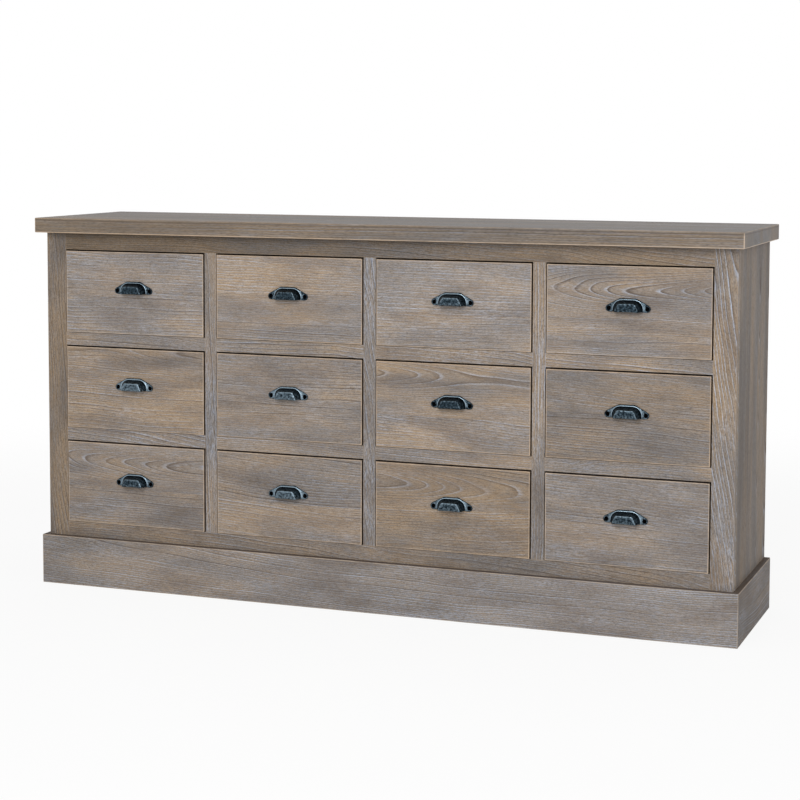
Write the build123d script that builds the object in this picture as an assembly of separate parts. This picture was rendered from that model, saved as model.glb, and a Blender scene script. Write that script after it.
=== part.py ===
from build123d import *
import os

# A floor-standing chest with inset drawers in columns and rows, a face frame, a slab top, a plinth
# that stands proud of the case, and an iron cup pull on each drawer.
# Frame: the origin is on the floor under the middle of the top board. +X is to the right seen from
# the front, the front faces -Y, and +Z is up. All sizes are in millimetres.

# Outside
TOP_WIDTH = 1600.0
TOP_DEPTH = 395.0
TOP_THICKNESS = 33.0
TOP_SIDE_OVERHANG = 16.0
TOP_FRONT_OVERHANG = 27.0
TOP_BACK_OVERHANG = 18.0
PLINTH_HEIGHT = 111.0
PLINTH_PROUD = 13.0
PLINTH_THICKNESS = 22.0
EASED_EDGE = 1.5

# Face frame
COLUMNS = 4
ROWS = 3
OPENING_HEIGHT = 187.0
POST_WIDTH = 48.0
MULLION_WIDTH = 28.0
TOP_RAIL_HEIGHT = 38.0
DRAWER_RAIL_HEIGHT = 29.0
BOTTOM_RAIL_HEIGHT = 33.0
FRAME_THICKNESS = 22.0
TENON_LENGTH = 9.0
TENON_THICKNESS = 8.0
TENON_SHOULDER = 6.0
JOINT_CLEARANCE = 0.2

# Case boards and the strips that carry the drawers
SIDE_THICKNESS = 20.0
PARTITION_THICKNESS = 18.0
BOTTOM_THICKNESS = 16.0
BACK_THICKNESS = 6.0
BACK_REBATE = 10.0
GUIDE_HEIGHT = 22.0
STOP_HEIGHT = 20.0
CLEAT_SIZE = 30.0
CORNER_BLOCK_SIZE = 45.0

# Drawers
DRAWER_SIDE_GAP = 2.5
DRAWER_TOP_GAP = 3.0
DRAWER_BOTTOM_GAP = 1.0
DRAWER_PROUD = 3.0
RUNNING_CLEARANCE = 0.3
GUIDE_CLEARANCE = 0.8
FRONT_THICKNESS = 20.0
FRONT_LAP = 10.0
BOX_SIDE_THICKNESS = 12.0
BOX_TOP_SPACE = 17.0
BOX_BACK_SPACE = 25.0
BOX_BOTTOM_THICKNESS = 5.0
BOX_BOTTOM_RISE = 8.0
BOX_GROOVE_DEPTH = 6.0

# Cup pulls, measured from the middle of the line through their two screw holes
PULL_HOLE_SPACING = 79.0
PULL_EAR_RADIUS = 7.5
PULL_TOP = 20.5
PULL_TOP_FLAT = 16.0
PULL_TOP_RADIUS = 3.0
CUP_MOUTH = 6.8
PULL_FLANGE = 2.5
PULL_ABOVE_CENTRE = 5.0
RIM_HALF_WIDTH = 33.0
RIM_TOP = 19.0
RIM_RADIUS = 20.0
RIM_HEIGHT = 4.5
RIM_WIDTH = 3.0
RIM_ROUND = 1.2
CUP_DEPTH = 20.0
CUP_WALL = 2.5
CUP_FACE_TOP = 11.0
CUP_FACE_TOP_HALF = 18.0
CUP_FACE_BOTTOM_HALF = 26.0
CUP_FACE_RADIUS = 6.0
CUP_EDGE = 2.0

# Screws, all countersunk
SCREW_CLEARANCE = 0.15
PULL_SCREW_HEAD = 3.4
PULL_SCREW_SHANK = 1.75
PULL_SCREW_LENGTH = 16.0
TOP_SCREW_HEAD = 4.5
TOP_SCREW_SHANK = 2.25
TOP_SCREW_LENGTH = 60.0
BACK_SCREW_HEAD = 3.4
BACK_SCREW_SHANK = 1.6
BACK_SCREW_LENGTH = 22.0
BACK_SCREWS_PER_EDGE = 5

# Levels that follow from the sizes above
CASE_HALF = TOP_WIDTH / 2 - TOP_SIDE_OVERHANG
CASE_FRONT = -TOP_DEPTH / 2 + TOP_FRONT_OVERHANG
CASE_BACK = TOP_DEPTH / 2 - TOP_BACK_OVERHANG
FRAME_BACK = CASE_FRONT + FRAME_THICKNESS
FRAME_MIDDLE = CASE_FRONT + FRAME_THICKNESS / 2
INNER_BACK = CASE_BACK - BACK_THICKNESS
SIDE_INNER = CASE_HALF - SIDE_THICKNESS
POST_INNER = CASE_HALF - POST_WIDTH
OPENING_WIDTH = (2 * POST_INNER - (COLUMNS - 1) * MULLION_WIDTH) / COLUMNS
COLUMN_PITCH = OPENING_WIDTH + MULLION_WIDTH
ROW_PITCH = OPENING_HEIGHT + DRAWER_RAIL_HEIGHT
LOWEST_OPENING = PLINTH_HEIGHT + BOTTOM_RAIL_HEIGHT
OPENINGS_TOP = LOWEST_OPENING + ROWS * ROW_PITCH - DRAWER_RAIL_HEIGHT
CASE_TOP = OPENINGS_TOP + TOP_RAIL_HEIGHT
BOTTOM_TOP = PLINTH_HEIGHT + BOTTOM_THICKNESS
PLINTH_HALF = CASE_HALF + PLINTH_PROUD
PLINTH_FRONT = CASE_FRONT - PLINTH_PROUD
PLINTH_INNER_HALF = PLINTH_HALF - PLINTH_THICKNESS
PLINTH_INNER_FRONT = PLINTH_FRONT + PLINTH_THICKNESS
PLINTH_INNER_BACK = CASE_BACK - PLINTH_THICKNESS
DRAWER_FRONT = CASE_FRONT - DRAWER_PROUD
DRAWER_HALF = OPENING_WIDTH / 2 - DRAWER_SIDE_GAP
BOX_BACK = INNER_BACK - BOX_BACK_SPACE
BOX_TOP = OPENING_HEIGHT - BOX_TOP_SPACE


def column_left(column):
    return -POST_INNER + column * COLUMN_PITCH


def row_bottom(row):
    return LOWEST_OPENING + (ROWS - 1 - row) * ROW_PITCH


def block(x, y, z):
    """A box between the two ends given on each axis."""
    middle = [(low + high) / 2 for low, high in (x, y, z)]
    size = [high - low for low, high in (x, y, z)]
    return Pos(*middle) * Box(*size)


def rail(x, z):
    """A rail with a stub tenon at each end, and the room that its tenons take."""
    return block(x, (CASE_FRONT, FRAME_BACK), z) + rail_core(x, z, 0), rail_core(x, z, JOINT_CLEARANCE)


def rail_core(x, z, grow):
    reach = TENON_LENGTH + grow
    half = TENON_THICKNESS / 2 + grow
    shoulder = TENON_SHOULDER - grow
    return block((x[0] - reach, x[1] + reach), (FRAME_MIDDLE - half, FRAME_MIDDLE + half),
                 (z[0] + shoulder, z[1] - shoulder))


def upright_core(x, z, grow):
    reach = TENON_LENGTH + grow
    half = TENON_THICKNESS / 2 + grow
    shoulder = TENON_SHOULDER - grow
    return block((x[0] + shoulder, x[1] - shoulder), (FRAME_MIDDLE - half, FRAME_MIDDLE + half),
                 (z[0] - reach, z[1] + reach))


def screw(head, shank, length, grow=0):
    """A countersunk screw that points along +Z from the middle of its head, or with grow its hole."""
    cone = Cone(head + grow, shank + grow, head - shank, align=(Align.CENTER, Align.CENTER, Align.MIN))
    return cone + Cylinder(shank + grow, length + grow, align=(Align.CENTER, Align.CENTER, Align.MIN))


def save(name, shapes):
    solids = [solid for shape in shapes for solid in shape.solids()]
    export_step(solids[0] if len(solids) == 1 else Compound(solids), f"parts/{name}.step")


# Face frame: posts and mullions stand the full height, rails are tenoned between them
top_rail, top_rail_room = rail((-POST_INNER, POST_INNER), (OPENINGS_TOP, CASE_TOP))
bottom_rail, bottom_rail_room = rail((-POST_INNER, POST_INNER), (PLINTH_HEIGHT, LOWEST_OPENING))
drawer_rails = []
rail_rooms = [top_rail_room, bottom_rail_room]
for row in range(ROWS - 1):
    for column in range(COLUMNS):
        left = column_left(column)
        low = row_bottom(row) - DRAWER_RAIL_HEIGHT
        piece, room = rail((left, left + OPENING_WIDTH), (low, low + DRAWER_RAIL_HEIGHT))
        drawer_rails.append(piece)
        rail_rooms.append(room)

posts = []
for low, high in ((-CASE_HALF, -POST_INNER), (POST_INNER, CASE_HALF)):
    post = block((low, high), (CASE_FRONT, FRAME_BACK), (PLINTH_HEIGHT, CASE_TOP))
    posts.append(post - rail_rooms)

mullions = []
mullion_middles = []
for column in range(1, COLUMNS):
    x = (column_left(column) - MULLION_WIDTH, column_left(column))
    z = (LOWEST_OPENING, OPENINGS_TOP)
    mullion = block(x, (CASE_FRONT, FRAME_BACK), z) + upright_core(x, z, 0)
    mullions.append(mullion - rail_rooms[2:])
    mullion_middles.append(column_left(column) - MULLION_WIDTH / 2)
    room = upright_core(x, z, JOINT_CLEARANCE)
    top_rail -= room
    bottom_rail -= room

# Case boards
inside_y = (FRAME_BACK, INNER_BACK)
side_panels = []
for side in (-1, 1):
    x = sorted((side * SIDE_INNER, side * CASE_HALF))
    rebate_x = sorted((side * SIDE_INNER, side * (SIDE_INNER + BACK_REBATE)))
    panel = block(x, (FRAME_BACK, CASE_BACK), (PLINTH_HEIGHT, CASE_TOP))
    side_panels.append(panel - block(rebate_x, (INNER_BACK, CASE_BACK), (PLINTH_HEIGHT, CASE_TOP)))

back_half = SIDE_INNER + BACK_REBATE - JOINT_CLEARANCE
back_panel = block((-back_half, back_half), (INNER_BACK, CASE_BACK), (PLINTH_HEIGHT, CASE_TOP))
bottom_panel = block((-SIDE_INNER, SIDE_INNER), inside_y, (PLINTH_HEIGHT, BOTTOM_TOP))
partitions = []
for middle in mullion_middles:
    x = (middle - PARTITION_THICKNESS / 2, middle + PARTITION_THICKNESS / 2)
    partitions.append(block(x, inside_y, (BOTTOM_TOP, CASE_TOP)))

top_panel = block((-TOP_WIDTH / 2, TOP_WIDTH / 2), (-TOP_DEPTH / 2, TOP_DEPTH / 2),
                  (CASE_TOP, CASE_TOP + TOP_THICKNESS))
top_panel = chamfer(top_panel.edges(), EASED_EDGE)

# Strips on both sides of every column: runners under the drawer sides, guides beside them, stops
# behind them, and kickers above the top row that also hold the top board
runners = []
guides = []
stops = []
kickers = []
kicker_middles = []
for column in range(COLUMNS):
    opening = (column_left(column), column_left(column) + OPENING_WIDTH)
    walls = (-SIDE_INNER if column == 0 else mullion_middles[column - 1] + PARTITION_THICKNESS / 2,
             SIDE_INNER if column == COLUMNS - 1 else mullion_middles[column] - PARTITION_THICKNESS / 2)
    for inward, edge, wall in ((1, opening[0], walls[0]), (-1, opening[1], walls[1])):
        outer_face = edge + inward * DRAWER_SIDE_GAP
        inner_face = outer_face + inward * BOX_SIDE_THICKNESS
        strip_x = sorted((wall, inner_face))
        guide_x = sorted((wall, outer_face - inward * GUIDE_CLEARANCE))
        stop_x = sorted((outer_face, inner_face))
        for row in range(ROWS):
            top = row_bottom(row)
            low = BOTTOM_TOP if row == ROWS - 1 else top - DRAWER_RAIL_HEIGHT
            runners.append(block(strip_x, inside_y, (low, top)))
            guides.append(block(guide_x, inside_y, (top, top + GUIDE_HEIGHT)))
            stop_y = (BOX_BACK + RUNNING_CLEARANCE, INNER_BACK)
            stops.append(block(stop_x, stop_y, (top, top + STOP_HEIGHT)))
        kickers.append(block(strip_x, inside_y, (OPENINGS_TOP, CASE_TOP)))
        kicker_middles.append(sum(strip_x) / 2)

# Plinth: front and sides mitred at the front corners, a butted back, cleats and corner blocks inside
front_outline = Polyline((-PLINTH_HALF, PLINTH_FRONT), (PLINTH_HALF, PLINTH_FRONT),
                         (PLINTH_INNER_HALF, PLINTH_INNER_FRONT),
                         (-PLINTH_INNER_HALF, PLINTH_INNER_FRONT), close=True)
plinth_front = extrude(make_face(front_outline), PLINTH_HEIGHT)
front_edge = plinth_front.faces().sort_by(Axis.Y)[0].edges().sort_by(Axis.Z)[-1]
plinth_front = chamfer(front_edge, EASED_EDGE)
side_outline = Polyline((PLINTH_HALF, PLINTH_FRONT), (PLINTH_HALF, CASE_BACK),
                        (PLINTH_INNER_HALF, CASE_BACK), (PLINTH_INNER_HALF, PLINTH_INNER_FRONT),
                        close=True)
plinth_right = extrude(make_face(side_outline), PLINTH_HEIGHT)
side_edge = plinth_right.faces().sort_by(Axis.X)[-1].edges().sort_by(Axis.Z)[-1]
plinth_right = chamfer(side_edge, EASED_EDGE)
plinth_left = mirror(plinth_right, about=Plane.YZ)
plinth_back = block((-PLINTH_INNER_HALF, PLINTH_INNER_HALF), (PLINTH_INNER_BACK, CASE_BACK),
                    (0, PLINTH_HEIGHT))

block_inner = PLINTH_INNER_HALF - CORNER_BLOCK_SIZE
plinth_blocks = []
for x in ((-PLINTH_INNER_HALF, -block_inner), (block_inner, PLINTH_INNER_HALF)):
    for y in ((PLINTH_INNER_FRONT, PLINTH_INNER_FRONT + CORNER_BLOCK_SIZE),
              (PLINTH_INNER_BACK - CORNER_BLOCK_SIZE, PLINTH_INNER_BACK)):
        plinth_blocks.append(block(x, y, (0, PLINTH_HEIGHT)))
for y in ((PLINTH_INNER_FRONT, PLINTH_INNER_FRONT + CLEAT_SIZE),
          (PLINTH_INNER_BACK - CLEAT_SIZE, PLINTH_INNER_BACK)):
    plinth_blocks.append(block((-block_inner, block_inner), y, (PLINTH_HEIGHT - CLEAT_SIZE, PLINTH_HEIGHT)))

# Screws that hold the top board through the kickers, two to a kicker
top_screws = []
kicker_length = INNER_BACK - FRAME_BACK
for number, x in enumerate(kicker_middles):
    for share in (0.2, 0.8):
        place = Pos(x, FRAME_BACK + share * kicker_length, OPENINGS_TOP)
        hole = place * screw(TOP_SCREW_HEAD, TOP_SCREW_SHANK, TOP_SCREW_LENGTH, SCREW_CLEARANCE)
        top_screws.append(place * screw(TOP_SCREW_HEAD, TOP_SCREW_SHANK, TOP_SCREW_LENGTH))
        kickers[number] -= hole
        top_panel -= hole

# Screws that hold the back panel to the sides, the partitions and the bottom
back_screws = []
edge_x = SIDE_INNER + BACK_REBATE / 2
upright_places = []
bottom_places = []
for x in (-edge_x, *mullion_middles, edge_x):
    for number in range(BACK_SCREWS_PER_EDGE):
        share = (number + 0.5) / BACK_SCREWS_PER_EDGE
        upright_places.append((x, BOTTOM_TOP + share * (CASE_TOP - BOTTOM_TOP)))
for column in range(COLUMNS):
    bottom_places.append((column_left(column) + OPENING_WIDTH / 2, PLINTH_HEIGHT + BOTTOM_THICKNESS / 2))
for x, z in upright_places + bottom_places:
    place = Pos(x, CASE_BACK, z) * Rot(X=90)
    hole = place * screw(BACK_SCREW_HEAD, BACK_SCREW_SHANK, BACK_SCREW_LENGTH, SCREW_CLEARANCE)
    back_screws.append(place * screw(BACK_SCREW_HEAD, BACK_SCREW_SHANK, BACK_SCREW_LENGTH))
    back_panel -= hole
    if z < BOTTOM_TOP:
        bottom_panel -= hole
    elif abs(x) > SIDE_INNER:
        side_panels[x > 0] -= hole
    else:
        partitions[mullion_middles.index(x)] -= hole


def arch(bottom_half, top_half, top, radius):
    """The outline of a cup seen from the front, run on below the level where its mouth is cut."""
    drop = 2 * CUP_MOUTH
    below_half = top_half + (bottom_half - top_half) * (top + drop) / (top + CUP_MOUTH)
    outline = Polyline((-below_half, -drop), (-top_half, top), (top_half, top), (below_half, -drop),
                       close=True)
    face = make_face(outline)
    return fillet(face.vertices().group_by(Axis.Y)[-1], radius)


def cup(inset):
    """The cup as a solid form, or with an inset the hollow inside it."""
    base_half = RIM_HALF_WIDTH - RIM_WIDTH - inset
    base = arch(base_half, base_half, RIM_TOP - RIM_WIDTH - inset, RIM_RADIUS - RIM_WIDTH - inset)
    shoulder = arch(CUP_FACE_BOTTOM_HALF - inset, CUP_FACE_TOP_HALF - inset, CUP_FACE_TOP - inset,
                    CUP_FACE_RADIUS - inset)
    face_inset = inset + CUP_EDGE
    face = arch(CUP_FACE_BOTTOM_HALF - face_inset, CUP_FACE_TOP_HALF - face_inset,
                CUP_FACE_TOP - face_inset, CUP_FACE_RADIUS - inset)
    depth = CUP_DEPTH - inset
    sections = [Plane.XZ * base, Plane.XZ.offset(depth - CUP_EDGE) * shoulder, Plane.XZ.offset(depth) * face]
    return loft(sections, ruled=True)


def cup_pull():
    """The iron casting: a flange with two ears, a raised rim, and a cup that opens downwards."""
    ear_x = PULL_HOLE_SPACING / 2
    rounds = Sketch() + [Pos(side * ear_x, 0) * Circle(PULL_EAR_RADIUS) for side in (-1, 1)]
    rounds += [Pos(side * PULL_TOP_FLAT, PULL_TOP - PULL_TOP_RADIUS) * Circle(PULL_TOP_RADIUS)
               for side in (-1, 1)]
    flange = extrude(Plane.XZ * make_hull(rounds.edges()), PULL_FLANGE)
    rim = extrude(Plane.XZ * arch(RIM_HALF_WIDTH, RIM_HALF_WIDTH, RIM_TOP, RIM_RADIUS), RIM_HEIGHT)
    rim = fillet(rim.faces().sort_by(Axis.Y)[0].edges(), RIM_ROUND)
    below = block((-ear_x, ear_x), (-2 * CUP_DEPTH, CUP_DEPTH), (-4 * CUP_MOUTH, -CUP_MOUTH))
    casting = flange + (rim + cup(0) - below) - cup(CUP_WALL)
    for place in pull_screw_places():
        casting -= place * screw(PULL_SCREW_HEAD, PULL_SCREW_SHANK, PULL_SCREW_LENGTH, SCREW_CLEARANCE)
    return casting


def pull_screw_places():
    """Where the heads of a pull's screws lie, each screw pointing into the drawer front."""
    return [Pos(side * PULL_HOLE_SPACING / 2, -PULL_FLANGE, 0) * Rot(X=-90) for side in (-1, 1)]


def drawer_front(pull_place):
    """A slab with eased front edges, lapped at the ends for the sides and grooved for the bottom."""
    front_z = (DRAWER_BOTTOM_GAP, OPENING_HEIGHT - DRAWER_TOP_GAP)
    slab = block((-DRAWER_HALF, DRAWER_HALF), (0, FRONT_THICKNESS), front_z)
    slab = chamfer(slab.faces().sort_by(Axis.Y)[0].edges(), EASED_EDGE)
    lap_y = (FRONT_THICKNESS - FRONT_LAP, FRONT_THICKNESS)
    inner_half = DRAWER_HALF - BOX_SIDE_THICKNESS
    for x in ((-DRAWER_HALF, -inner_half), (inner_half, DRAWER_HALF)):
        slab -= block(x, lap_y, (0, OPENING_HEIGHT))
    slab -= bottom_sheet(JOINT_CLEARANCE)
    for place in pull_screw_places():
        hole = screw(PULL_SCREW_HEAD, PULL_SCREW_SHANK, PULL_SCREW_LENGTH, SCREW_CLEARANCE)
        slab -= pull_place * place * hole
    return slab


def bottom_sheet(grow):
    """The sheet that slides into grooves of the front and the sides, or with grow its room."""
    half = DRAWER_HALF - BOX_SIDE_THICKNESS + BOX_GROOVE_DEPTH - JOINT_CLEARANCE + grow
    front = FRONT_THICKNESS - BOX_GROOVE_DEPTH + JOINT_CLEARANCE - grow
    low = BOX_BOTTOM_RISE - grow
    return block((-half, half), (front, BOX_BACK - DRAWER_FRONT), (low, low + BOX_BOTTOM_THICKNESS + 2 * grow))


def drawer_box():
    """Two sides, a back that stands on the bottom sheet, and the sheet."""
    inner_half = DRAWER_HALF - BOX_SIDE_THICKNESS
    back_end = BOX_BACK - DRAWER_FRONT
    side_z = (RUNNING_CLEARANCE, BOX_TOP)
    pieces = []
    for x in ((-DRAWER_HALF, -inner_half), (inner_half, DRAWER_HALF)):
        side = block(x, (FRONT_THICKNESS - FRONT_LAP, back_end), side_z)
        pieces.append(side - bottom_sheet(JOINT_CLEARANCE))
    back_z = (BOX_BOTTOM_RISE + BOX_BOTTOM_THICKNESS, BOX_TOP)
    pieces.append(block((-inner_half, inner_half), (back_end - BOX_SIDE_THICKNESS, back_end), back_z))
    pieces.append(bottom_sheet(0))
    return pieces


os.makedirs("parts", exist_ok=True)
save("top_panel", [top_panel])
save("left_side_panel", side_panels[:1])
save("right_side_panel", side_panels[1:])
save("back_panel", [back_panel])
save("bottom_panel", [bottom_panel])
save("left_front_post", posts[:1])
save("right_front_post", posts[1:])
save("top_rail", [top_rail])
save("bottom_rail", [bottom_rail])
for number, mullion in enumerate(mullions, 1):
    save(f"mullion_{number}", [mullion])
save("drawer_rails", drawer_rails)
save("partitions", partitions)
save("runners_and_guides", runners + guides)
save("drawer_stops", stops)
save("top_kickers", kickers)
save("plinth_front", [plinth_front])
save("plinth_left", [plinth_left])
save("plinth_right", [plinth_right])
save("plinth_back", [plinth_back])
save("plinth_blocks", plinth_blocks)
save("top_screws", top_screws)
save("back_screws", back_screws)

# The drawers are alike, so each piece is made once and placed in every opening
pull_place = Pos(0, 0, OPENING_HEIGHT / 2 + PULL_ABOVE_CENTRE)
front = drawer_front(pull_place)
box_pieces = drawer_box()
casting = cup_pull()
pull_screw = screw(PULL_SCREW_HEAD, PULL_SCREW_SHANK, PULL_SCREW_LENGTH)
pull_pieces = [pull_place * casting]
pull_pieces += [pull_place * place * pull_screw for place in pull_screw_places()]
for row in range(ROWS):
    for column in range(COLUMNS):
        place = Pos(column_left(column) + OPENING_WIDTH / 2, DRAWER_FRONT, row_bottom(row))
        name = f"drawer_r{row + 1}c{column + 1}"
        save(f"{name}_front", [place * front])
        save(f"{name}_box", [place * piece for piece in box_pieces])
        save(f"{name}_pull", [place * piece for piece in pull_pieces])

print(f"chest {TOP_WIDTH:.1f} x {TOP_DEPTH:.1f} x {CASE_TOP + TOP_THICKNESS:.1f} mm,"
      f" openings {OPENING_WIDTH:.1f} x {OPENING_HEIGHT:.1f} mm")
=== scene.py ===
# %% [markdown]
# # A limed oak chest of drawers
# The chest's construction comes from a CAD model: every board, runner and screw has its place there.
# This lesson gives each piece its looks. The visible boards are rebuilt as bevelled boards sawn from a
# log, so that the rings run through them and show end grain at their ends. The iron cup pulls are
# rebuilt as castings with a rubbed rim. Pieces that hardly show keep their CAD shape.

# %% Load the CAD parts
import bmesh
import bpy
import math
import random
from bmesh.types import BMEdge, BMVert
from collections import namedtuple
from mathutils import Matrix, Vector


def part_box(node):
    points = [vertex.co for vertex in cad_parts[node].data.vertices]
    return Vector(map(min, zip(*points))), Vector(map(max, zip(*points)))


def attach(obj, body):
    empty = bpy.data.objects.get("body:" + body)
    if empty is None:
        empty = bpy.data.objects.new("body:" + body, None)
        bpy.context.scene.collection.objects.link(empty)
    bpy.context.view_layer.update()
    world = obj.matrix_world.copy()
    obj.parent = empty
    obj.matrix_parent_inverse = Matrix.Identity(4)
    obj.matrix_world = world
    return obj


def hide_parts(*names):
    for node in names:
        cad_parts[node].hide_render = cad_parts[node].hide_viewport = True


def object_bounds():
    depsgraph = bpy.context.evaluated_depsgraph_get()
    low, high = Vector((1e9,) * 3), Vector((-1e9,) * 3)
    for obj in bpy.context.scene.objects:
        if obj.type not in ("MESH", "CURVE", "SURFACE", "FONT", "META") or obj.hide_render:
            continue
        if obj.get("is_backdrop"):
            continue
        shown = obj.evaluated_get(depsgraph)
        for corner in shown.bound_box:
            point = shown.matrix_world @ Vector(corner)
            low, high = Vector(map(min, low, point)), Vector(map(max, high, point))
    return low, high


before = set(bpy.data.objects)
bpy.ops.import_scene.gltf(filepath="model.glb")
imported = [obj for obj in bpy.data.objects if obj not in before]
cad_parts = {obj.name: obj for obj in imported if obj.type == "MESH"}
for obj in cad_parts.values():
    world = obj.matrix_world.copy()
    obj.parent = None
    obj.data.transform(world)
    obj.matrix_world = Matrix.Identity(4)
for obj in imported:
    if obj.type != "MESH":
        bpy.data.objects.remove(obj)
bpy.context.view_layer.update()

scene = bpy.context.scene
MM = 0.001

# %% [markdown]
# ## Colours and shader nodes
# A finish is a stack of thin layers: stain, wax, wear, dirt. Each layer becomes a few shader nodes. They
# could be wired by hand in the editor, but a script shows every value and can be run again. Colours are
# written as the hex values that a screen shows, and turned into the linear values that a shader needs. One
# function adds every node: it takes the node's settings, and fills or links its sockets.

# %% Colour and node helpers
def linear(hex_colour):
    """A hex colour as linear red, green, blue and alpha."""
    shares = [int(hex_colour[i:i + 2], 16) / 255 for i in (1, 3, 5)]
    return [s / 12.92 if s <= 0.04045 else ((s + 0.055) / 1.055) ** 2.4 for s in shares] + [1.0]


def add(tree, kind, sockets, **settings):
    """Adds a shader node. A socket, named or numbered, gets a value, an output or a node's first output."""
    made = tree.nodes.new("ShaderNode" + kind)
    for name, value in settings.items():
        setattr(made, name, value)
    for key, value in sockets.items():
        socket = next(s for i, s in enumerate(made.inputs) if s.enabled and key in (i, s.name))
        if isinstance(value, bpy.types.Node):
            value = next(s for s in value.outputs if s.enabled)
        if isinstance(value, bpy.types.NodeSocket):
            tree.links.new(value, socket)
        else:
            socket.default_value = value
    return made


def new_material(name):
    """An empty node material with its output, ready for a shader."""
    material = bpy.data.materials.new(name)
    material.use_nodes = True
    material.node_tree.nodes.clear()
    output = add(material.node_tree, "OutputMaterial", {})
    return material, material.node_tree, output


print("linear mid grey:", [round(v, 3) for v in linear("#808080")])

# %% [markdown]
# ## Growth rings
# A board shows the rings of the log it was sawn from. A picture of wood could be laid on each face, but it
# would repeat from board to board and show no end grain. So the rings are worked out in space instead, and
# all faces of a board agree. Every board carries a note, grain, that tells for each of its points where it
# lay in the log: along it, and sideways and outwards from the pith. The distance from the pith, counted in
# ring widths, runs from the open early wood at the start of a ring to the dense, dark late wood at its end.
# A slow drift keeps the rings from being perfect circles.

# %% Rings of a log
RING = 5.2 * MM
DRIFT = 34.0 * MM
DRIFT_LENGTH, DRIFT_WIDTH = 360, 150  # in mm


def spread(length, width):
    """The scale that makes noise about so many millimetres long and wide."""
    return 1 / (length * MM), 1 / (width * MM), 1 / (width * MM)


def rings(tree, grain):
    """The early and the late wood of the rings, and the bent place in the log that finer marks follow."""
    slow = add(tree, "VectorMath", {0: grain, 1: spread(DRIFT_LENGTH, DRIFT_WIDTH)}, operation="MULTIPLY")
    drift = add(tree, "TexNoise", {"Vector": slow, "Scale": 1.0, "Detail": 2.0, "Roughness": 0.4})
    push = add(tree, "VectorMath", {0: drift.outputs["Color"], 1: (0.5, 0.5, 0.5)}, operation="SUBTRACT")
    bent = add(tree, "VectorMath", {0: push, 1: (0.0, DRIFT, DRIFT), 2: grain}, operation="MULTIPLY_ADD")
    level = add(tree, "VectorMath", {0: bent, 1: (0.0, 1.0, 1.0)}, operation="MULTIPLY")
    radius = add(tree, "VectorMath", {0: level}, operation="LENGTH")

    # Rings counted from the pith, some wider than others
    count = add(tree, "Math", {0: radius, 1: RING}, operation="DIVIDE")
    uneven = add(tree, "TexNoise", {"W": count, "Scale": 0.45, "Detail": 1.0}, noise_dimensions="1D")
    years = add(tree, "Math", {0: uneven, 1: 1.3, 2: count}, operation="MULTIPLY_ADD")
    phase = add(tree, "Math", {0: years}, operation="FRACT")

    # Early wood starts sharply and fades out, late wood comes slowly and ends sharply
    opening = add(tree, "MapRange", {"Value": phase, "From Min": 0.95, "From Max": 1.0})
    closing = add(tree, "MapRange", {"Value": phase, "From Min": 0.26, "From Max": 0.0},
                  interpolation_type="SMOOTHSTEP")
    early = add(tree, "Math", {0: opening, 1: closing}, operation="MAXIMUM")
    ripe = add(tree, "MapRange", {"Value": phase, "From Min": 0.7, "From Max": 0.94},
               interpolation_type="SMOOTHSTEP")
    late = add(tree, "Math", {0: ripe, 1: opening}, operation="SUBTRACT")
    return early, late, bent


print("ring width in mm:", RING / MM)

# %% [markdown]
# ## Worn edges
# Handling wears the stain off the edges of a board, in patches. A bevel node could find the edges, but it
# costs time at every sample and can't tell one board from the next. Instead two more notes tell where a
# point lies on its board: place, from the board's middle, and half, half the board's size. Of the three
# distances to the board's faces the middle one is the distance to the nearest edge. The note wear says how
# much a board is touched.

# %% Distance to an edge
WEAR = 2.4 * MM
KNOCK = 45 * MM


def worn_edge(tree):
    """How worn a point is: about 1 on an arris, 0 from a little way off."""
    place = add(tree, "Attribute", {}, attribute_name="place").outputs["Vector"]
    half = add(tree, "Attribute", {}, attribute_name="half").outputs["Vector"]
    from_middle = add(tree, "VectorMath", {0: place}, operation="ABSOLUTE")
    inside = add(tree, "VectorMath", {0: half, 1: from_middle}, operation="SUBTRACT")
    gap = add(tree, "SeparateXYZ", {0: inside}).outputs
    less = add(tree, "Math", {0: gap[0], 1: gap[1]}, operation="MINIMUM")
    more = add(tree, "Math", {0: gap[0], 1: gap[1]}, operation="MAXIMUM")
    other = add(tree, "Math", {0: more, 1: gap[2]}, operation="MINIMUM")
    edge = add(tree, "Math", {0: less, 1: other}, operation="MAXIMUM")
    near = add(tree, "MapRange", {"Value": edge, "From Min": WEAR, "From Max": WEAR / 3})
    wear = add(tree, "Attribute", {}, attribute_name="wear").outputs["Fac"]
    knocks = add(tree, "TexNoise", {"Vector": place, "Scale": 1 / KNOCK, "Detail": 4.0, "Roughness": 0.62})
    patchy = add(tree, "MapRange", {"Value": knocks, "From Min": 0.35, "From Max": 0.6, "To Min": 0.3})
    often = add(tree, "Math", {0: patchy, 1: wear}, operation="MULTIPLY")
    return add(tree, "Math", {0: near, 1: often}, operation="MULTIPLY")


print("edges wear within mm:", WEAR / MM)

# %% [markdown]
# ## Limed, brushed oak
# Limed oak starts as brown boards. A wire brush opens the soft part of each ring, a grey stain goes over
# everything, and white wax stays in the opened grain, with a smear of it left on some patches. So pale lines
# follow the early wood, thin dark lines the late wood, and the body between them wavers from tan to grey,
# with single fibres a little cooler or warmer. All this could be painted on a texture, but layers in the
# order of the work can be set one by one. A note, tone, holds a board's brightness, its warmth and how much
# wax it kept, and may change from end to end; on the sides, the upper rail and the plinth's ends it also
# holds painted shade, and on the top's face a painted reflection. Another note, darkening, is set only in a
# few places: the joints round the drawers, where it is painted shade, the plinth's ledge, and a line below
# the top's arris. The plain wood inside is the same oak, only planed: honey coloured, with darker rings.

# %% Marks along the grain
# Length and width in mm, and detail. Fibres and pores are drawn coarser than real ones, so that they show
FIBRE, PORE = (18, 1.8, 2.0), (4, 1.6, 1.0)
PATCH, CLOUD = (260, 80, 2.0), (200, 55, 2.0)

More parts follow.
